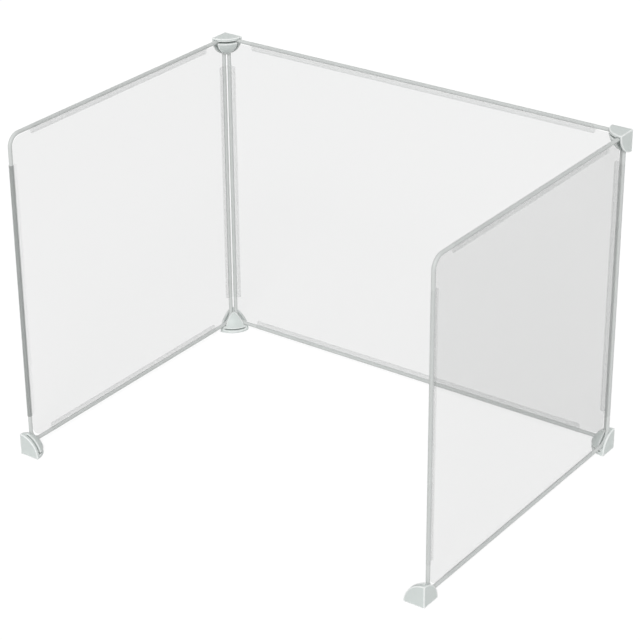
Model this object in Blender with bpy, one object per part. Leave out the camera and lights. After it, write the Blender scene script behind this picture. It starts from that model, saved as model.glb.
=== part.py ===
"""Three-sided table-top sneeze guard.

Three upright panels, left, back and right, stand round an open front. Each panel
is a closed ring of coated wire that holds a translucent sheet: four folded edge
strips grip the wire and are welded to both faces of the sheet. Six push-on corner
connectors, each an eighth of a ball behind three flat plates, join the panels at
the top rear corners and carry them as feet.

Metres, +Z up, the open front facing -Y. The origin is under the middle of the
object, on the table.
"""

import math

import bmesh
import bpy
from mathutils import Matrix, Vector

# ---------------------------------------------------------------- driving sizes

WIRE_DIAMETER = 0.0042
BEND_RADIUS = 0.013  # centre line of the wire, in each corner of a frame

PANEL_HEIGHT = 0.346  # between the centre lines of a frame's two level wires
SIDE_DEPTH = 0.3457  # between the centre lines of a side frame's uprights
BACK_WIDTH = 0.4894  # between the centre lines of the back frame's uprights
UPRIGHT_STEP = 0.0040  # from a rear upright to the plane of the other frame

SHEET_THICKNESS = 0.0006
SHEET_CORNER_SETBACK = 0.0033  # bare sheet edge behind the wire's centre line
SHEET_CORNER_RADIUS = 0.0125
SHEET_TAPER = 0.005  # run over which the sheet edge steps back, past a strip

STRIP_THICKNESS = 0.0004
STRIP_LAP = 0.0056  # how far a strip laps over the sheet, past the wire
STRIP_END_GAP = 0.031  # from a strip's end to the frame's square corner

PLATE_THICKNESS = 0.00225  # a connector's three flat outer plates
PLATE_RADIUS = 0.0236
BALL_RADIUS = 0.0245
EMPTY_SLOT_WIDTH = 0.0023  # an unused slot, before a wire springs it open
EMPTY_SLOT_START = 0.0040  # where an unused slot begins, from the outer faces
FOOT_RISE = 0.0103  # lower wires' centre line above the table
FRONT_FOOT_REACH = 0.0127  # front foot's outer face ahead of the front uprights

FIT = 0.00015  # clearance per side wherever one piece holds another

WIRE_BEVEL_STEPS = 3
BEND_STEPS = 8
SLEEVE_STEPS = 10
BALL_STEPS = 40  # round the whole ball
SMOOTH_ANGLE = math.radians(35)

# ------------------------------------------------------------- worked-out sizes

WIRE_RADIUS = WIRE_DIAMETER / 2
SLOT_HALF = WIRE_RADIUS + FIT
SLOT_DEPTH = PLATE_THICKNESS + SLOT_HALF  # a slot's mid plane behind the outer face
SLOT_CORNER_RADIUS = BEND_RADIUS + SLOT_HALF
SLEEVE_INNER = WIRE_RADIUS + FIT
SLEEVE_OUTER = SLEEVE_INNER + STRIP_THICKNESS
LEG_INNER = SHEET_THICKNESS / 2 + FIT
LEG_OUTER = LEG_INNER + STRIP_THICKNESS
SLEEVE_FLATS = 1 / math.cos(math.radians(180 / SLEEVE_STEPS))  # corners over flats
SHEET_INSET = SLEEVE_INNER + FIT  # sheet edge inside a strip, behind the centre line
STRIP_REACH = WIRE_RADIUS + STRIP_LAP

SIDE_X = BACK_WIDTH / 2 + UPRIGHT_STEP  # plane of a side frame
DEPTH = FRONT_FOOT_REACH + SIDE_DEPTH + UPRIGHT_STEP + SLOT_DEPTH
BACK_Y = DEPTH / 2 - SLOT_DEPTH  # plane of the back frame
SIDE_Y = BACK_Y - UPRIGHT_STEP - SIDE_DEPTH / 2  # middle of a side frame
MIDDLE_Z = FOOT_RISE + PANEL_HEIGHT / 2
OUTER_X = SIDE_X + SLOT_DEPTH
TOP_Z = FOOT_RISE + PANEL_HEIGHT + SLOT_DEPTH

# -------------------------------------------------------------------- materials


def plastic(name, colour, roughness, alpha=1.0):
    material = bpy.data.materials.new(name)
    material.use_nodes = True
    shader = material.node_tree.nodes["Principled BSDF"]
    shader.inputs["Base Color"].default_value = (*colour, 1.0)
    shader.inputs["Roughness"].default_value = roughness
    shader.inputs["Metallic"].default_value = 0.0
    shader.inputs["Alpha"].default_value = alpha
    return material


def add_object(name, data, material, parent=None):
    data.materials.append(material)
    thing = bpy.data.objects.new(name, data)
    thing.parent = parent
    bpy.context.scene.collection.objects.link(thing)
    return thing


def mesh_from(name, bm):
    bmesh.ops.recalc_face_normals(bm, faces=bm.faces)
    mesh = bpy.data.meshes.new(name)
    bm.to_mesh(mesh)
    bm.free()
    mesh.shade_smooth()
    mesh.set_sharp_from_angle(angle=SMOOTH_ANGLE)
    return mesh


def arc(centre, radius, start, end, steps):
    """Points round part of a circle; the angles are in degrees."""
    points = []
    for i in range(steps + 1):
        angle = math.radians(start + (end - start) * i / steps)
        across = centre[0] + radius * math.cos(angle)
        up = centre[1] + radius * math.sin(angle)
        points.append((across, up))
    return points


def prism(outline, place):
    """A bmesh of a closed outline, pulled from its own plane to the far end.

    place gives the corner for an outline point and an end, 0 or 1.
    """
    bm = bmesh.new()
    near = [bm.verts.new(place(point, 0)) for point in outline]
    face = bm.faces.new(near)
    far_faces = bmesh.ops.extrude_face_region(bm, geom=[face])["geom"]
    far = [item for item in far_faces if isinstance(item, bmesh.types.BMVert)]
    travel = place(outline[0], 1) - place(outline[0], 0)
    bmesh.ops.translate(bm, vec=travel, verts=far)
    return bm


# ---------------------------------------------------------------------- panels
# A panel is drawn in the XZ plane round its own middle, and hangs on an empty
# that stands it in place.


def wire_ring(name, width, height, material, parent):
    """One wire, bent to a rounded rectangle and butt-welded into a ring."""
    half_w = width / 2 - BEND_RADIUS
    half_h = height / 2 - BEND_RADIUS
    points = []
    for across, up, start in ((1, 1, 0), (-1, 1, 90), (-1, -1, 180), (1, -1, 270)):
        centre = (across * half_w, up * half_h)
        points += arc(centre, BEND_RADIUS, start, start + 90, BEND_STEPS)

    curve = bpy.data.curves.new(name, "CURVE")
    curve.dimensions = "3D"
    curve.bevel_depth = WIRE_RADIUS
    curve.bevel_resolution = WIRE_BEVEL_STEPS
    spline = curve.splines.new("POLY")
    spline.points.add(len(points) - 1)
    for spline_point, (across, up) in zip(spline.points, points):
        spline_point.co = (across, 0, up, 1)
    spline.use_cyclic_u = True
    return add_object(name, curve, material, parent)


def sheet_outline(width, height):
    """Straight edges inside the strips, stepped back and rounded at the corners."""
    half_w = width / 2
    half_h = height / 2
    inset_w = half_w - SHEET_INSET
    inset_h = half_h - SHEET_INSET
    step_w = half_w - STRIP_END_GAP
    step_h = half_h - STRIP_END_GAP
    bend_w = half_w - SHEET_CORNER_SETBACK - SHEET_CORNER_RADIUS
    bend_h = half_h - SHEET_CORNER_SETBACK - SHEET_CORNER_RADIUS
    corner = [(inset_w, step_h), (half_w - SHEET_CORNER_SETBACK, step_h + SHEET_TAPER)]
    corner += arc((bend_w, bend_h), SHEET_CORNER_RADIUS, 0, 90, BEND_STEPS)
    corner += [(step_w + SHEET_TAPER, half_h - SHEET_CORNER_SETBACK), (step_w, inset_h)]

    outline = list(corner)
    outline += [(-across, up) for across, up in reversed(corner)]
    outline += [(-across, -up) for across, up in corner]
    outline += [(across, -up) for across, up in reversed(corner)]
    return outline


def sheet(name, width, height, material, parent):
    def place(point, end):
        return Vector((point[0], (end - 0.5) * SHEET_THICKNESS, point[1]))

    bm = prism(sheet_outline(width, height), place)
    return add_object(name, mesh_from(name, bm), material, parent)


def strip_outline():
    """Section of an edge strip: a sleeve round the wire, then two flat legs.

    The first coordinate runs from the wire's centre into the panel, the second
    out of its face.
    """
    outer = math.degrees(math.asin(LEG_OUTER / SLEEVE_OUTER))
    inner = math.degrees(math.asin(LEG_INNER / SLEEVE_INNER))
    outline = [(STRIP_REACH, LEG_OUTER)]
    outline += arc((0, 0), SLEEVE_OUTER, outer, 360 - outer, SLEEVE_STEPS)
    outline += [(STRIP_REACH, -LEG_OUTER), (STRIP_REACH, -LEG_INNER)]
    outline += arc((0, 0), SLEEVE_INNER * SLEEVE_FLATS, 360 - inner, inner, SLEEVE_STEPS)
    outline += [(STRIP_REACH, LEG_INNER)]
    return outline


def edge_strip(name, edge_distance, length, turn, material, parent):
    """A strip along the edge that lies edge_distance from the panel's middle.

    turn swings it round the panel: 0 is the top, 90 the side at -X.
    """

    def place(point, end):
        return Vector(((end - 0.5) * length, point[1], edge_distance - point[0]))

    bm = prism(strip_outline(), place)
    bmesh.ops.rotate(bm, matrix=Matrix.Rotation(math.radians(-turn), 3, "Y"), verts=bm.verts)
    return add_object(name, mesh_from(name, bm), material, parent)


def panel(name, width, edge_names, location, turn):
    """Frame, sheet and four edge strips. edge_names gives the -X and +X edges."""
    stand = bpy.data.objects.new(name + "_panel", None)
    stand.location = location
    stand.rotation_euler = (0, 0, math.radians(turn))
    bpy.context.scene.collection.objects.link(stand)

    wire = plastic(name + "_wire_coating", (0.72, 0.74, 0.73), 0.25)
    film = plastic(name + "_film", (0.86, 0.87, 0.87), 0.4, 0.3)
    weld = plastic(name + "_welded_film", (0.70, 0.72, 0.72), 0.4, 0.5)

    wire_ring(name + "_wire_frame", width, PANEL_HEIGHT, wire, stand)
    sheet(name + "_sheet", width, PANEL_HEIGHT, film, stand)

    level = width - 2 * STRIP_END_GAP
    upright = PANEL_HEIGHT - 2 * STRIP_END_GAP
    near, far = edge_names
    edges = (
        ("top", PANEL_HEIGHT / 2, level, 0),
        (near, width / 2, upright, 90),
        ("bottom", PANEL_HEIGHT / 2, level, 180),
        (far, width / 2, upright, 270),
    )
    for edge, distance, length, swing in edges:
        edge_strip(f"{name}_{edge}_edge_strip", distance, length, swing, weld, stand)


# ------------------------------------------------------------------ connectors
# A connector is drawn with its outer corner at the origin and fills the octant
# +X +Y +Z. A foot turns about Z into its corner, and a top connector is first
# tipped over.


def octant(radius, start):
    """An eighth of a ball about the origin, kept where x, y and z pass start."""
    bm = bmesh.new()
    bmesh.ops.create_uvsphere(
        bm, u_segments=BALL_STEPS, v_segments=BALL_STEPS // 2, radius=radius
    )
    for axis in range(3):
        normal = Vector((0, 0, 0))
        normal[axis] = 1
        everything = list(bm.verts) + list(bm.edges) + list(bm.faces)
        bmesh.ops.bisect_plane(
            bm, geom=everything, plane_co=normal * start, plane_no=normal, clear_inner=True
        )
        rim = [edge for edge in bm.edges if edge.is_boundary]
        bmesh.ops.holes_fill(bm, edges=rim, sides=0)
    return bm


def slot_outline(start):
    """A slot's reach in its own plane: rounded where the frame's corner seats."""
    across, up = start
    far = 2 * BALL_RADIUS
    centre = (across + SLOT_CORNER_RADIUS, up + SLOT_CORNER_RADIUS)
    outline = arc(centre, SLOT_CORNER_RADIUS, 270, 180, BEND_STEPS)
    outline += [(across, far), (far, far), (far, up)]
    return outline


def slot(name, axis, start, half_width, connector):
    """A slot's cutter, square to the given axis, and its Boolean."""

    def place(point, end):
        level = SLOT_DEPTH + (2 * end - 1) * half_width
        spots = {0: (level, point[0], point[1]), 1: (point[0], level, point[1])}
        spots[2] = (point[0], point[1], level)
        return Vector(spots[axis])

    cutter = bpy.data.objects.new(name, mesh_from(name, prism(slot_outline(start), place)))
    cutter.parent = connector
    cutter.hide_render = True
    cutter.display_type = "WIRE"
    bpy.context.scene.collection.objects.link(cutter)
    cut = connector.modifiers.new(name, "BOOLEAN")
    cut.operation = "DIFFERENCE"
    cut.object = cutter


def connector(name, location, tip, turn, slots):
    """slots maps an axis to where the slot square to it begins, and to its half width."""
    material = plastic(name + "_plastic", (0.66, 0.69, 0.68), 0.35)
    plates = mesh_from(name, octant(PLATE_RADIUS, 0))
    body = add_object(name, plates, material)
    body.location = location
    body.rotation_euler = (math.radians(tip), 0, math.radians(turn))

    ball_name = name + "_ball"
    ball = bpy.data.objects.new(ball_name, mesh_from(ball_name, octant(BALL_RADIUS, SLOT_DEPTH)))
    ball.parent = body
    ball.hide_render = True
    ball.display_type = "WIRE"
    bpy.context.scene.collection.objects.link(ball)
    join = body.modifiers.new(ball_name, "BOOLEAN")
    join.operation = "UNION"
    join.object = ball

    for axis, (start, half_width) in slots.items():
        slot(f"{name}_slot_{'xyz'[axis]}", axis, start, half_width, body)


# ------------------------------------------------------------------ the object

for old in list(bpy.data.objects):
    bpy.data.objects.remove(old, do_unlink=True)

panel("left", SIDE_DEPTH, ("front", "rear"), (-SIDE_X, SIDE_Y, MIDDLE_Z), 90)
panel("right", SIDE_DEPTH, ("front", "rear"), (SIDE_X, SIDE_Y, MIDDLE_Z), 90)
panel("back", BACK_WIDTH, ("left", "right"), (0, BACK_Y, MIDDLE_Z), 0)

UPRIGHT_START = SLOT_DEPTH + UPRIGHT_STEP - SLOT_HALF
EMPTY_SLOT = ((EMPTY_SLOT_START, EMPTY_SLOT_START), EMPTY_SLOT_WIDTH / 2)
TOP_SLOT = ((UPRIGHT_START, SLOT_DEPTH - SLOT_HALF), SLOT_HALF)
REAR_SLOT = ((UPRIGHT_START, FOOT_RISE - SLOT_HALF), SLOT_HALF)
FRONT_SLOT = ((FRONT_FOOT_REACH - SLOT_HALF, FOOT_RISE - SLOT_HALF), SLOT_HALF)

TOP_SLOTS = {0: TOP_SLOT, 1: TOP_SLOT, 2: EMPTY_SLOT}
REAR_SLOTS = {0: REAR_SLOT, 1: REAR_SLOT, 2: EMPTY_SLOT}
FRONT_LEFT_SLOTS = {0: FRONT_SLOT, 1: EMPTY_SLOT, 2: EMPTY_SLOT}
FRONT_RIGHT_SLOTS = {0: EMPTY_SLOT, 1: FRONT_SLOT, 2: EMPTY_SLOT}

FRONT_Y = -DEPTH / 2
REAR_Y = DEPTH / 2
connector("top_left_connector", (-OUTER_X, REAR_Y, TOP_Z), 180, 0, TOP_SLOTS)
connector("top_right_connector", (OUTER_X, REAR_Y, TOP_Z), 180, -90, TOP_SLOTS)
connector("rear_left_foot", (-OUTER_X, REAR_Y, 0), 0, -90, REAR_SLOTS)
connector("rear_right_foot", (OUTER_X, REAR_Y, 0), 0, 180, REAR_SLOTS)
connector("front_left_foot", (-OUTER_X, FRONT_Y, 0), 0, 0, FRONT_LEFT_SLOTS)
connector("front_right_foot", (OUTER_X, FRONT_Y, 0), 0, 90, FRONT_RIGHT_SLOTS)
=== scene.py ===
"""Looks of the three-sided table-top sneeze guard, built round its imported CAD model.

Metres, +Z up, the open front facing -Y, as in the CAD model. The file follows the
guard as it is put together: wire frames, sheets, edge strips, connectors, and then
the table, the lights and the camera.
"""

import math

import bpy
from mathutils import Matrix, Vector


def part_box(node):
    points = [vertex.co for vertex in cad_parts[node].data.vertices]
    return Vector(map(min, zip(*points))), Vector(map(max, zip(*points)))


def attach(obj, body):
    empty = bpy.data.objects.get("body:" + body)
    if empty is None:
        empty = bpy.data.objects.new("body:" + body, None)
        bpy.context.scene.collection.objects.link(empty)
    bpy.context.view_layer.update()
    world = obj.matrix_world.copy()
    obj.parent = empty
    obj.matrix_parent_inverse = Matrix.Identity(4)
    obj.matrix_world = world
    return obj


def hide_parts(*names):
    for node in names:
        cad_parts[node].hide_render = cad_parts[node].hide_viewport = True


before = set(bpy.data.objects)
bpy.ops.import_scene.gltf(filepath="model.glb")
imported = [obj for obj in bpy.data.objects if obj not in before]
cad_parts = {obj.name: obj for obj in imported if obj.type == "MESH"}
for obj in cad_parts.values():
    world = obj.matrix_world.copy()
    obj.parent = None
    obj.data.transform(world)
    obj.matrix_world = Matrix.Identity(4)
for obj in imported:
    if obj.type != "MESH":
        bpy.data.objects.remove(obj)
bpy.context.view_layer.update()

# ------------------------------------------------------------------- wire frames
# Each panel is stretched on one ring of steel wire, bent to a rectangle with round
# corners and butt-welded. It has a smooth pale coating, and is 4.2 mm across over it.

PANELS = ("left", "right", "back")
WIRE_RADIUS = 0.0021
BEND_RADIUS = 0.013
BEND_SEGMENTS = 20
WIRE_ROUNDNESS = 8
SHEET_BEHIND_WIRE = 0.0024  # the sheet's straight edges, behind the wire's centre line
WIRE_TONES = ((0.62, 0.64, 0.63), (0.57, 0.59, 0.58))


def pick(piece):
    """Selects this piece alone, and makes it active."""
    bpy.ops.object.select_all(action="DESELECT")
    piece.select_set(True)
    bpy.context.view_layer.objects.active = piece


def new_piece(name):
    """Names the primitive that was just added, and its mesh."""
    piece = bpy.context.object
    piece.name = name
    piece.data.name = name
    return piece


def face_outwards():
    """Turns every face of the active piece outwards."""
    bpy.ops.object.mode_set(mode="EDIT")
    bpy.ops.mesh.select_all(action="SELECT")
    bpy.ops.mesh.normals_make_consistent(inside=False)
    bpy.ops.object.mode_set(mode="OBJECT")


def panel_stand(panel):
    """Where a panel stands: its middle, its turn, and its wire's width and height."""
    low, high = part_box(panel + "_sheet")
    span = high - low
    turn = math.radians(90) if span.y > span.x else 0.0
    width = max(span.x, span.y) + 2 * SHEET_BEHIND_WIRE
    return (low + high) / 2, turn, width, span.z + 2 * SHEET_BEHIND_WIRE


def stand_in_panel(piece, panel):
    """Takes a piece from the panel's own XZ plane to where the panel stands."""
    middle, turn, _, _ = panel_stand(panel)
    pick(piece)
    piece.location = middle
    piece.rotation_euler = (0, 0, turn)
    bpy.ops.object.transform_apply(location=True, rotation=True, scale=True)


def rounded_rectangle(name, width, height, radius):
    """A flat rectangle in the XZ plane round the origin, with round corners."""
    bpy.ops.object.select_all(action="DESELECT")
    bpy.ops.mesh.primitive_plane_add(size=1, rotation=(math.radians(90), 0, 0))
    piece = new_piece(name)
    piece.scale = (width, height, 1)
    bpy.ops.object.transform_apply(location=True, rotation=True, scale=True)
    bpy.ops.object.mode_set(mode="EDIT")
    bpy.ops.mesh.select_all(action="SELECT")
    bpy.ops.mesh.bevel(offset=radius, segments=BEND_SEGMENTS, affect="VERTICES")
    bpy.ops.object.mode_set(mode="OBJECT")
    return piece


def add_socket(group, name, way, kind):
    """Gives a node group an INPUT or an OUTPUT, of the Float or the Color kind."""
    group.interface.new_socket(name=name, in_out=way, socket_type="NodeSocket" + kind)


def fine_grain():
    """A node group: the fine unevenness of a coated or moulded surface."""
    group = bpy.data.node_groups.new("fine_grain", "ShaderNodeTree")
    add_socket(group, "Grains per metre", "INPUT", "Float")
    add_socket(group, "Depth", "INPUT", "Float")
    add_socket(group, "Height", "OUTPUT", "Float")
    nodes, links = group.nodes, group.links
    entry, leave = nodes.new("NodeGroupInput"), nodes.new("NodeGroupOutput")
    place = nodes.new("ShaderNodeTexCoord")
    cells = nodes.new("ShaderNodeTexNoise")
    cells.inputs["Detail"].default_value = 3.0
    deepen = nodes.new("ShaderNodeMath")
    deepen.operation = "MULTIPLY"
    links.new(place.outputs["Object"], cells.inputs["Vector"])
    links.new(entry.outputs["Grains per metre"], cells.inputs["Scale"])
    links.new(cells.outputs["Fac"], deepen.inputs[0])
    links.new(entry.outputs["Depth"], deepen.inputs[1])
    links.new(deepen.outputs["Value"], leave.inputs["Height"])
    return group


def soft_clouds():
    """A node group: a slow drift of tone between two colours."""
    group = bpy.data.node_groups.new("soft_clouds", "ShaderNodeTree")
    add_socket(group, "Colour", "INPUT", "Color")
    add_socket(group, "Other colour", "INPUT", "Color")
    add_socket(group, "Clouds per metre", "INPUT", "Float")
    add_socket(group, "Colour", "OUTPUT", "Color")
    nodes, links = group.nodes, group.links
    entry, leave = nodes.new("NodeGroupInput"), nodes.new("NodeGroupOutput")
    place = nodes.new("ShaderNodeTexCoord")
    clouds = nodes.new("ShaderNodeTexNoise")
    clouds.inputs["Detail"].default_value = 2.0
    blend = nodes.new("ShaderNodeMix")
    blend.data_type = "RGBA"
    links.new(place.outputs["Object"], clouds.inputs["Vector"])
    links.new(entry.outputs["Clouds per metre"], clouds.inputs["Scale"])
    links.new(clouds.outputs["Fac"], blend.inputs["Factor"])
    links.new(entry.outputs["Colour"], blend.inputs["A"])
    links.new(entry.outputs["Other colour"], blend.inputs["B"])
    links.new(blend.outputs["Result"], leave.inputs["Colour"])
    return group


FINE_GRAIN = fine_grain()
SOFT_CLOUDS = soft_clouds()


def new_material(name, roughness, gloss):
    """A new material and its shader, where gloss is the Specular IOR Level."""
    material = bpy.data.materials.new(name)
    material.use_nodes = True
    shader = material.node_tree.nodes["Principled BSDF"]
    shader.inputs["Roughness"].default_value = roughness
    shader.inputs["Specular IOR Level"].default_value = gloss
    return material, shader


def add_grain(material, per_metre, depth, distance):
    """Gives a material's surface the fine grain, through a Bump node."""
    nodes, links = material.node_tree.nodes, material.node_tree.links
    grain = nodes.new("ShaderNodeGroup")
    grain.node_tree = FINE_GRAIN
    grain.inputs["Grains per metre"].default_value = per_metre
    grain.inputs["Depth"].default_value = depth
    bump = nodes.new("ShaderNodeBump")
    bump.inputs["Distance"].default_value = distance
    links.new(grain.outputs["Height"], bump.inputs["Height"])
    links.new(bump.outputs["Normal"], nodes["Principled BSDF"].inputs["Normal"])


def add_clouds(material, colour, other, per_metre):
    """Gives a material's base colour a slow drift between two tones."""
    nodes, links = material.node_tree.nodes, material.node_tree.links
    clouds = nodes.new("ShaderNodeGroup")
    clouds.node_tree = SOFT_CLOUDS
    clouds.inputs["Colour"].default_value = (*colour, 1)
    clouds.inputs["Other colour"].default_value = (*other, 1)
    clouds.inputs["Clouds per metre"].default_value = per_metre
    links.new(clouds.outputs["Colour"], nodes["Principled BSDF"].inputs["Base Color"])
    return clouds


def coated_wire():
    """Pale smooth coating with a faint orange peel."""
    material, _ = new_material("coated_wire", roughness=0.4, gloss=0.25)
    add_clouds(material, *WIRE_TONES, per_metre=40.0)
    add_grain(material, per_metre=1400.0, depth=0.5, distance=0.00002)
    return material


COATED_WIRE = coated_wire()


def bend_wire(panel):
    """Bends a panel's wire: an outline with round corners, thickened to the wire."""
    _, _, width, height = panel_stand(panel)
    wire = rounded_rectangle(panel + "_wire", width, height, BEND_RADIUS)
    bpy.ops.object.mode_set(mode="EDIT")
    bpy.ops.mesh.select_all(action="SELECT")
    bpy.ops.mesh.delete(type="ONLY_FACE")
    bpy.ops.object.mode_set(mode="OBJECT")
    bpy.ops.object.convert(target="CURVE")
    wire.data.bevel_depth = WIRE_RADIUS
    wire.data.bevel_resolution = WIRE_ROUNDNESS
    bpy.ops.object.convert(target="MESH")
    face_outwards()
    bpy.ops.object.shade_smooth()
    stand_in_panel(wire, panel)
    wire.data.materials.append(COATED_WIRE)
    return wire


for panel in PANELS:
    wire = bend_wire(panel)
    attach(wire, panel + "_panel")
    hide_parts(panel + "_wire_frame")

# ------------------------------------------------------------------------ sheets
# A sheet of thin translucent plastic fills each frame, frosted on both faces. It is
# die-cut: straight where the edge strips hold it, and stepped back from the bare
# wire at the corners, where a sliver of daylight shows between the two.

SHEET_THICKNESS = 0.0006
SHEET_EDGE_ROUND = 0.00012
SHEET_EDGE_ANGLE = math.radians(60)  # only an edge sharper than this is rounded
SHEET_SMOOTH_ANGLE = math.radians(30)
CORNER_SETBACK = 0.0033
CORNER_RADIUS = 0.0125
STRIP_END_GAP = 0.031  # from a strip's end to the frame's square corner
TAPER = 0.005
CLOSE = 0.00001  # places nearer to each other than this count as the same
FILM_DENSITY = 0.107  # alpha of one face
FILM_TONES = ((0.285, 0.295, 0.29), (0.265, 0.275, 0.27))


def frosted_film():
    """Clear plastic frosted on its faces: it greys what is behind it a little."""
    material, shader = new_material("frosted_film", roughness=0.55, gloss=0.2)
    shader.inputs["Alpha"].default_value = FILM_DENSITY
    add_clouds(material, *FILM_TONES, per_metre=9.0)
    add_grain(material, per_metre=2600.0, depth=0.6, distance=0.000005)
    return material


FROSTED_FILM = frosted_film()


def select_vertices(piece, chosen):
    """Leaves edit mode's selection on the vertices whose place passes the test."""
    bpy.ops.object.mode_set(mode="EDIT")
    bpy.ops.mesh.select_mode(type="VERT")
    bpy.ops.mesh.select_all(action="DESELECT")
    bpy.ops.object.mode_set(mode="OBJECT")
    for vertex in piece.data.vertices:
        vertex.select = chosen(vertex.co)
    bpy.ops.object.mode_set(mode="EDIT")


def apply_modifier(piece, kind, **settings):
    """Gives the active piece a modifier with these settings, and applies it."""
    modifier = piece.modifiers.new(kind.lower(), kind)
    for setting, value in settings.items():
        setattr(modifier, setting, value)
    bpy.ops.object.modifier_apply(modifier=modifier.name)


def pull_edges(sheet, along, across, length, width):
    """Pulls two opposite edges outwards, over the stretch that the strips hold."""
    half_held = length / 2 - STRIP_END_GAP
    half_cut = width / 2 - CORNER_SETBACK
    for side in (-1, 1):

        def held(place):
            on_edge = abs(place[across] - side * half_cut) < CLOSE
            return on_edge and abs(place[along]) < half_held + CLOSE

        select_vertices(sheet, held)
        move = Vector((0, 0, 0))
        move[across] = side * (CORNER_SETBACK - SHEET_BEHIND_WIRE)
        bpy.ops.transform.translate(value=move)
        bpy.ops.object.mode_set(mode="OBJECT")


def cut_sheet(panel):
    """Cuts a panel's sheet, and pulls its straight edges out into the strips."""
    _, _, width, height = panel_stand(panel)
    sheet = rounded_rectangle(
        panel + "_film", width - 2 * CORNER_SETBACK, height - 2 * CORNER_SETBACK, CORNER_RADIUS
    )
    for axis, size in ((Vector((1, 0, 0)), width), (Vector((0, 0, 1)), height)):
        held = size / 2 - STRIP_END_GAP
        for distance in (held, held + TAPER):
            for side in (-1, 1):
                bpy.ops.object.mode_set(mode="EDIT")
                bpy.ops.mesh.select_all(action="SELECT")
                bpy.ops.mesh.bisect(plane_co=axis * distance * side, plane_no=axis)
                bpy.ops.object.mode_set(mode="OBJECT")
    pull_edges(sheet, along=2, across=0, length=height, width=width)
    pull_edges(sheet, along=0, across=2, length=width, width=height)

    pick(sheet)
    apply_modifier(sheet, "SOLIDIFY", thickness=SHEET_THICKNESS, offset=0)
    apply_modifier(
        sheet,
        "BEVEL",
        width=SHEET_EDGE_ROUND,
        segments=2,
        limit_method="ANGLE",
        angle_limit=SHEET_EDGE_ANGLE,
    )
    bpy.ops.object.shade_smooth_by_angle(angle=SHEET_SMOOTH_ANGLE)
    stand_in_panel(sheet, panel)
    sheet.data.materials.append(FROSTED_FILM)
    return sheet


for panel in PANELS:
    sheet = cut_sheet(panel)
    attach(sheet, panel + "_panel")
    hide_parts(panel + "_sheet")

# ------------------------------------------------------------------- edge strips
# Twelve strips of the same film hold the sheets: each is folded round the wire and
# its two legs are heat-welded to the sheet's faces. A pressed line runs near the
# free edge of the weld, and the ends of the legs are cut round. The left front
# strip is given a darker, denser copy of the film: painted shade.

STRIP_THICKNESS = 0.0004
SLEEVE_RADIUS = 0.00245  # the middle of the film round the wire
SLEEVE_SEGMENTS = 40
SLEEVE_MOUTH = math.radians(45)  # how far round from the panel the sleeve lets go
LEG_GAP = 0.00065  # the middle of a leg's film from the middle of the sheet
STRIP_REACH = 0.0077  # a leg's free edge from the wire's centre line
LEG_STEPS = (  # down a leg: from the wire's centre line, and from the sheet's middle
    (0.0024, 0.00125),
    (0.0031, 0.0008),
    (0.0039, LEG_GAP),
    (STRIP_REACH, LEG_GAP),
)
LEG_END_ROUND = 0.0024
LEG_END_SEGMENTS = 6
STRIP_SMOOTH_ANGLE = math.radians(40)
LAP_REACH = STRIP_REACH + STRIP_THICKNESS  # where the "lap" attribute reaches 1
WELD_START = 1.5 * SLEEVE_RADIUS  # from the wire's centre line to the full weld
PRESSED_LINE = 0.0070  # from the wire's centre line to the weld's pressed line
LINE_HALF = 0.0006
PALE_TONE = (0.56, 0.58, 0.575)
# Painted shade: the darker film tone of the left front strip stands in for the shade that upright
# lies in.
PAINTED_SHADE_TONE = (0.30, 0.32, 0.315)
TONE_DRIFT = 0.93  # the darkest that a strip's tone drifts to, as a share of it


def welded_strip(name, tone, sleeve, leg, line):
    """The film where it is folded and welded. The last three are alphas of one face."""
    material, shader = new_material(name, roughness=0.45, gloss=0.25)
    add_clouds(material, tone, [TONE_DRIFT * part for part in tone], per_metre=60.0)
    add_grain(material, per_metre=2200.0, depth=0.6, distance=0.000005)

    nodes, links = material.node_tree.nodes, material.node_tree.links
    lap = nodes.new("ShaderNodeAttribute")
    lap.attribute_name = "lap"
    density = nodes.new("ShaderNodeValToRGB")
    density.color_ramp.interpolation = "EASE"
    steps = density.color_ramp.elements
    steps[0].color = (sleeve, sleeve, sleeve, 1)
    steps[1].color = (leg, leg, leg, 1)
    for distance, alpha in (
        (SLEEVE_RADIUS, sleeve),
        (WELD_START, leg),
        (PRESSED_LINE - 2 * LINE_HALF, leg),
        (PRESSED_LINE - LINE_HALF / 2, line),
        (PRESSED_LINE + LINE_HALF / 2, line),
    ):
        step = steps.new(distance / LAP_REACH)
        step.color = (alpha, alpha, alpha, 1)
    links.new(lap.outputs["Fac"], density.inputs["Fac"])
    links.new(density.outputs["Color"], shader.inputs["Alpha"])
    return material


WELDED_STRIP = welded_strip("welded_strip", PALE_TONE, sleeve=0.04, leg=0.085, line=0.12)
# Painted shade: the left front strip gets a darker film with a denser sleeve, as if it lay in
# shade.
PAINTED_SHADE_STRIP = welded_strip("painted_shade_strip", PAINTED_SHADE_TONE, sleeve=0.22, leg=0.02, line=0.02)
FAINT_STRIP = welded_strip("faint_strip", PALE_TONE, sleeve=0.04, leg=0.01, line=0.01)
STRIP_TONES = {"left_front_strip": PAINTED_SHADE_STRIP, "right_bottom_strip": FAINT_STRIP}


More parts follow.
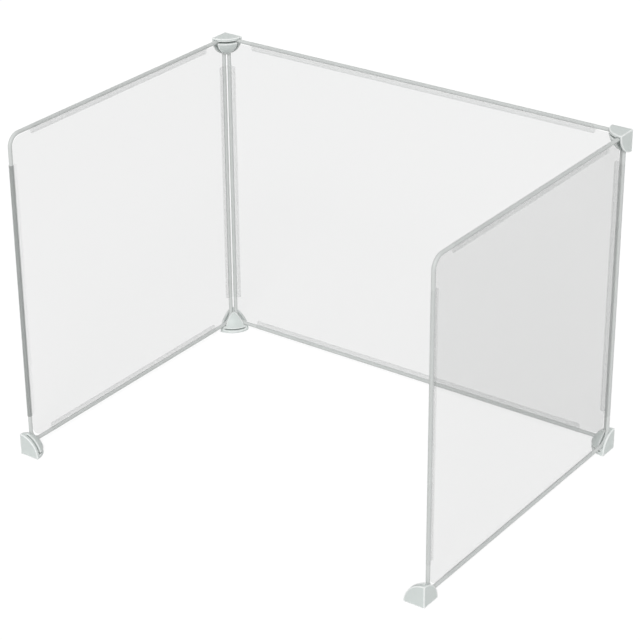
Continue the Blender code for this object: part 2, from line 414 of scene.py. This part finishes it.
def fold_strip(name, length):
    """Folds a strip round a wire along X through the origin, legs down."""
    bpy.ops.object.select_all(action="DESELECT")
    bpy.ops.mesh.primitive_circle_add(
        vertices=SLEEVE_SEGMENTS,
        radius=SLEEVE_RADIUS,
        rotation=(math.radians(90), 0, math.radians(90)),
    )
    strip = new_piece(name)
    bpy.ops.object.transform_apply(location=True, rotation=True, scale=True)
    mouth = SLEEVE_RADIUS * math.cos(SLEEVE_MOUTH)
    select_vertices(strip, lambda place: place.z < -mouth)
    bpy.ops.mesh.delete(type="VERT")
    bpy.ops.object.mode_set(mode="OBJECT")

    low = min(vertex.co.z for vertex in strip.data.vertices)
    half = max(vertex.co.y for vertex in strip.data.vertices if vertex.co.z < low + CLOSE)
    select_vertices(strip, lambda place: place.z < low + CLOSE)
    for depth, gap in LEG_STEPS:
        bpy.ops.mesh.extrude_vertices_move(TRANSFORM_OT_translate={"value": (0, 0, -depth - low)})
        bpy.ops.transform.resize(value=(1, gap / half, 1))
        low, half = -depth, gap
    bpy.ops.mesh.select_all(action="SELECT")
    bpy.ops.transform.translate(value=(-length / 2, 0, 0))
    bpy.ops.mesh.extrude_region_move(TRANSFORM_OT_translate={"value": (length, 0, 0)})
    bpy.ops.object.mode_set(mode="OBJECT")

    select_vertices(strip, lambda place: place.z < -STRIP_REACH + CLOSE)
    bpy.ops.mesh.bevel(offset=LEG_END_ROUND, segments=LEG_END_SEGMENTS, affect="VERTICES")
    bpy.ops.object.mode_set(mode="OBJECT")
    face_outwards()
    apply_modifier(strip, "SOLIDIFY", thickness=STRIP_THICKNESS, offset=0)
    bpy.ops.object.shade_smooth_by_angle(angle=STRIP_SMOOTH_ANGLE)

    lap = strip.data.attributes.new("lap", "FLOAT", "POINT")
    for vertex, value in zip(strip.data.vertices, lap.data):
        value.value = max(0.0, -vertex.co.z) / LAP_REACH
    return strip


def copy_of(model, name):
    """A copy of a model with its own mesh, selected alone."""
    piece = model.copy()
    piece.data = model.data.copy()
    piece.name = piece.data.name = name
    bpy.context.collection.objects.link(piece)
    pick(piece)
    return piece


def lay_strip(name, model, edge_distance, turn, panel):
    """Lays a copy of a strip on one edge of a panel; turn swings it round."""
    strip = copy_of(model, name)
    swing = Matrix.Rotation(-turn, 4, "Y")
    strip.matrix_world = swing @ Matrix.Translation((0, 0, edge_distance))
    bpy.ops.object.transform_apply(location=True, rotation=True, scale=True)
    stand_in_panel(strip, panel)
    return strip


for panel in PANELS:
    _, _, width, height = panel_stand(panel)
    near, far = ("left", "right") if panel == "back" else ("front", "rear")
    level_model = fold_strip("level_strip", width - 2 * STRIP_END_GAP)
    upright_model = fold_strip("upright_strip", height - 2 * STRIP_END_GAP)
    edges = (
        ("top", level_model, height / 2, 0),
        (near, upright_model, width / 2, 90),
        ("bottom", level_model, height / 2, 180),
        (far, upright_model, width / 2, 270),
    )
    for edge, model, distance, turn in edges:
        name = f"{panel}_{edge}_strip"
        strip = lay_strip(name, model, distance, math.radians(turn), panel)
        strip.data.materials.append(STRIP_TONES.get(name, WELDED_STRIP))
        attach(strip, panel + "_panel")
        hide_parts(f"{panel}_{edge}_edge_strip")
    bpy.data.objects.remove(level_model)
    bpy.data.objects.remove(upright_model)

# -------------------------------------------------------------------- connectors
# Six push-on corners, injection-moulded in a translucent grey-green plastic: three
# flat outer plates and an eighth of a ball behind them, with a slot between plate
# and ball square to each direction. A frame's corner is pressed into a slot.

BALL_RADIUS = 0.0245
BALL_SEGMENTS = 96
PLATE_RADIUS = 0.0236
PLATE_THICKNESS = 0.00225
SLOT_HALF = 0.00225
SLOT_DEPTH = PLATE_THICKNESS + SLOT_HALF
SLOT_CORNER = BEND_RADIUS + SLOT_HALF
SLOT_CORNER_SEGMENTS = 12
EMPTY_HALF = 0.00115
EMPTY = (0.0040, 0.0040, EMPTY_HALF)  # where a slot starts, and its half width
TOP = (0.00625, 0.00225, SLOT_HALF)
REAR = (0.00625, 0.00805, SLOT_HALF)
FRONT = (0.01045, 0.00805, SLOT_HALF)
SLOT_AXES = (  # each takes a cutter that is thin along Z to one thin along X, Y or Z
    Matrix(((0, 0, 1), (1, 0, 0), (0, 1, 0))),
    Matrix(((1, 0, 0), (0, 0, 1), (0, 1, 0))),
    Matrix.Identity(3),
)
MOULD_DETAIL = 0.0003
MOULD_SOFTNESS = 8
LIGHT_REACH = 0.003  # how far light spreads inside the plastic
PLASTIC_TONES = ((0.66, 0.70, 0.685), (0.605, 0.645, 0.63))
# Painted highlight: the paler tone that the connectors' rounded edges are given.
EDGE_HIGHLIGHT_TONE = (0.93, 0.95, 0.94)
EDGE_HIGHLIGHT_REACH = 0.0024  # how far in from an edge the painted highlight reaches
EDGE_START, EDGE_FULL = 0.995, 0.93  # how alike the rounded and the true normal are


def spread(tree, value, low, high, to_low=0.0, to_high=1.0):
    """Adds a Map Range node, which takes low to high into to_low to to_high."""
    step = tree.nodes.new("ShaderNodeMapRange")
    step.inputs["From Min"].default_value = low
    step.inputs["From Max"].default_value = high
    step.inputs["To Min"].default_value = to_low
    step.inputs["To Max"].default_value = to_high
    tree.links.new(value, step.inputs["Value"])
    return step.outputs["Result"]


def moulded_plastic():
    """Translucent grey-green plastic: fine mould grain, and a painted highlight that makes it
    paler near its edges.
    """
    material, shader = new_material("moulded_plastic", roughness=0.42, gloss=0.3)
    shader.inputs["Subsurface Weight"].default_value = 0.6
    shader.inputs["Subsurface Radius"].default_value = (1.0, 1.0, 1.0)
    shader.inputs["Subsurface Scale"].default_value = LIGHT_REACH
    clouds = add_clouds(material, *PLASTIC_TONES, per_metre=90.0)
    add_grain(material, per_metre=1800.0, depth=0.5, distance=0.00001)

    nodes, links = material.node_tree.nodes, material.node_tree.links
    # Painted highlight: the base colour turns paler where the rounded normal parts from the true
    # one, along every edge.
    rounded = nodes.new("ShaderNodeBevel")
    rounded.samples = 8
    rounded.inputs["Radius"].default_value = EDGE_HIGHLIGHT_REACH
    flat = nodes.new("ShaderNodeNewGeometry")
    near_edge = nodes.new("ShaderNodeVectorMath")
    near_edge.operation = "DOT_PRODUCT"
    paler = nodes.new("ShaderNodeMix")
    paler.data_type = "RGBA"
    paler.inputs["B"].default_value = (*EDGE_HIGHLIGHT_TONE, 1)
    links.new(rounded.outputs["Normal"], near_edge.inputs[0])
    links.new(flat.outputs["Normal"], near_edge.inputs[1])
    painted_edge_highlight = spread(material.node_tree, near_edge.outputs["Value"], EDGE_START, EDGE_FULL)
    links.new(painted_edge_highlight, paler.inputs["Factor"])
    links.new(clouds.outputs["Colour"], paler.inputs["A"])
    links.new(paler.outputs["Result"], shader.inputs["Base Color"])
    return material


MOULDED_PLASTIC = moulded_plastic()


def ball_eighth(name, radius, start):
    """An eighth of a ball round the origin, kept where x, y and z pass start."""
    bpy.ops.object.select_all(action="DESELECT")
    bpy.ops.mesh.primitive_uv_sphere_add(
        segments=BALL_SEGMENTS, ring_count=BALL_SEGMENTS // 2, radius=radius
    )
    eighth = new_piece(name)
    bpy.ops.object.mode_set(mode="EDIT")
    for normal in (Vector((1, 0, 0)), Vector((0, 1, 0)), Vector((0, 0, 1))):
        bpy.ops.mesh.select_all(action="SELECT")
        bpy.ops.mesh.bisect(
            plane_co=normal * start, plane_no=normal, use_fill=True, clear_inner=True
        )
    bpy.ops.object.mode_set(mode="OBJECT")
    return eighth


def slot_cutter(name, axis, across, up, half):
    """A block the size of a slot's reach, its inner corner round like the wire."""
    far = 2 * BALL_RADIUS
    low = Vector((across, up, SLOT_DEPTH - half))
    high = Vector((far, far, SLOT_DEPTH + half))
    bpy.ops.object.select_all(action="DESELECT")
    bpy.ops.mesh.primitive_cube_add(size=1, location=(low + high) / 2)
    cutter = new_piece(name)
    cutter.scale = high - low
    bpy.ops.object.transform_apply(location=True, rotation=True, scale=True)
    select_vertices(cutter, lambda place: place.x < across + CLOSE and place.y < up + CLOSE)
    bpy.ops.mesh.bevel(offset=SLOT_CORNER, segments=SLOT_CORNER_SEGMENTS, affect="EDGES")
    bpy.ops.object.mode_set(mode="OBJECT")
    cutter.data.transform(SLOT_AXES[axis].to_4x4())
    face_outwards()
    return cutter


def mould_connector(name, slots):
    """Moulds a connector with its outer corner at the origin, filling +X +Y +Z."""
    body = ball_eighth(name, PLATE_RADIUS, 0)
    ball = ball_eighth(name + "_ball", BALL_RADIUS, SLOT_DEPTH)
    tools = [(ball, "UNION")]
    for axis, slot in enumerate(slots):
        tools.append((slot_cutter(f"{name}_slot_{axis}", axis, *slot), "DIFFERENCE"))
    pick(body)
    for tool, operation in tools:
        apply_modifier(body, "BOOLEAN", operation=operation, object=tool)
        bpy.data.objects.remove(tool)
    apply_modifier(body, "REMESH", mode="VOXEL", voxel_size=MOULD_DETAIL)
    apply_modifier(body, "SMOOTH", factor=0.5, iterations=MOULD_SOFTNESS)
    bpy.ops.object.shade_smooth()
    body.data.materials.append(MOULDED_PLASTIC)
    return body


def press_on(name, model, node, tip, turn):
    """Puts a copy of a moulding at the outer corner of its CAD node's box."""
    low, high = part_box(node)
    corner = Vector([a if abs(a) > abs(b) else b for a, b in zip(low, high)])
    if "foot" in node:
        corner.z = low.z
    piece = copy_of(model, name)
    piece.location = corner
    piece.rotation_euler = (math.radians(tip), 0, math.radians(turn))
    bpy.ops.object.transform_apply(location=True, rotation=True, scale=True)
    return piece


top_model = mould_connector("top_moulding", (TOP, TOP, EMPTY))
rear_model = mould_connector("rear_moulding", (REAR, REAR, EMPTY))
front_left_model = mould_connector("front_left_moulding", (FRONT, EMPTY, EMPTY))
front_right_model = mould_connector("front_right_moulding", (EMPTY, FRONT, EMPTY))
CONNECTORS = (
    ("top_left_corner", top_model, "top_left_connector", 180, 0),
    ("top_right_corner", top_model, "top_right_connector", 180, -90),
    ("rear_left_corner", rear_model, "rear_left_foot", 0, -90),
    ("rear_right_corner", rear_model, "rear_right_foot", 0, 180),
    ("front_left_corner", front_left_model, "front_left_foot", 0, 0),
    ("front_right_corner", front_right_model, "front_right_foot", 0, 90),
)
for name, model, node, tip, turn in CONNECTORS:
    corner_piece = press_on(name, model, node, tip, turn)
    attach(corner_piece, node)
    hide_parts(node)
for model in (top_model, rear_model, front_left_model, front_right_model):
    bpy.data.objects.remove(model)

# ------------------------------------------------------------------- white table
# The photograph is cut out on white. The table is a wide white sheet that keeps a
# faint shadow of the feet, and the room behind it is white to the eye, to gloss
# and through clear plastic, and dimmer as a light on the guard.

TABLE_SIZE = 14.0
TABLE_GLOW = 0.86
TABLE_TONE = 0.20  # what is left of the table's white once it glows
TABLE_BOUNCE = 0.85  # the white that the guard is lit by from below
ROOM_LIGHT = 0.55


def seen_directly(tree):
    """1 where the eye sees a surface, by itself, in gloss or through clear plastic."""
    ray = tree.nodes.new("ShaderNodeLightPath")
    seen = ray.outputs["Is Camera Ray"]
    for kind in ("Is Glossy Ray", "Is Transmission Ray"):
        either = tree.nodes.new("ShaderNodeMath")
        either.operation = "ADD"
        tree.links.new(seen, either.inputs[0])
        tree.links.new(ray.outputs[kind], either.inputs[1])
        seen = either.outputs["Value"]
    return seen


def white_table():
    """White to the eye with a faint shadow, and plain white as a light on the guard."""
    material, shader = new_material("white_table", roughness=0.9, gloss=0.0)
    tree = material.node_tree
    shader.inputs["Emission Color"].default_value = (1, 1, 1, 1)
    seen = seen_directly(tree)
    glow = spread(tree, seen, 0.0, 1.0, to_low=0.0, to_high=TABLE_GLOW)
    tone = spread(tree, seen, 0.0, 1.0, to_low=TABLE_BOUNCE, to_high=TABLE_TONE)
    tree.links.new(glow, shader.inputs["Emission Strength"])
    tree.links.new(tone, shader.inputs["Base Color"])
    return material


bpy.ops.object.select_all(action="DESELECT")
bpy.ops.mesh.primitive_plane_add(size=TABLE_SIZE)
table = new_piece("table")
table.data.materials.append(white_table())

world = bpy.data.worlds.new("white_room")
bpy.context.scene.world = world
world.use_nodes = True
room = world.node_tree.nodes["Background"]
room.inputs["Color"].default_value = (1, 1, 1, 1)
seen = seen_directly(world.node_tree)
level = spread(world.node_tree, seen, 0.0, 1.0, to_low=ROOM_LIGHT, to_high=1.0)
world.node_tree.links.new(level, room.inputs["Strength"])

# -------------------------------------------------------------- light and camera
# One broad soft lamp stands just above the camera, so round edges turn away from it
# and darken. The camera stands where the photograph was taken, found from the
# twelve straight wires of the three panels.

KEY_STRENGTH = 1.7
KEY_TURN = math.radians(30)
KEY_HEIGHT = math.radians(38)
KEY_SOFTNESS = math.radians(20)

CAMERA_PLACE = (1.18062, -1.64163, 1.17114)
CAMERA_TURN = 0.62174  # to the right of straight ahead
CAMERA_TILT = 0.46601  # below level
CAMERA_ROLL = -0.00719
CAMERA_LENS = 124.35
CAMERA_SENSOR = 36.0
CLEAR_FACES = 40  # how many see-through faces a ray may cross


def aimed(turn, height, roll=0.0):
    """Looks back at the middle from a turn to the right and a height over level."""
    swing = Matrix.Rotation(turn, 3, "Z")
    lean = Matrix.Rotation(math.radians(90) - height, 3, "X")
    return (swing @ lean @ Matrix.Rotation(roll, 3, "Z")).to_euler()


key_lamp = bpy.data.lights.new("key_lamp", "SUN")
key_lamp.energy = KEY_STRENGTH
key_lamp.angle = KEY_SOFTNESS
key = bpy.data.objects.new("key_lamp", key_lamp)
key.rotation_euler = aimed(KEY_TURN, KEY_HEIGHT)
bpy.context.scene.collection.objects.link(key)

camera_data = bpy.data.cameras.new("camera")
camera_data.lens = CAMERA_LENS
camera_data.sensor_width = CAMERA_SENSOR
camera = bpy.data.objects.new("camera", camera_data)
camera.location = CAMERA_PLACE
camera.rotation_euler = aimed(CAMERA_TURN, CAMERA_TILT, CAMERA_ROLL)
bpy.context.scene.collection.objects.link(camera)
bpy.context.scene.camera = camera

bpy.context.scene.view_settings.view_transform = "Standard"
bpy.context.scene.cycles.transparent_max_bounces = CLEAR_FACES
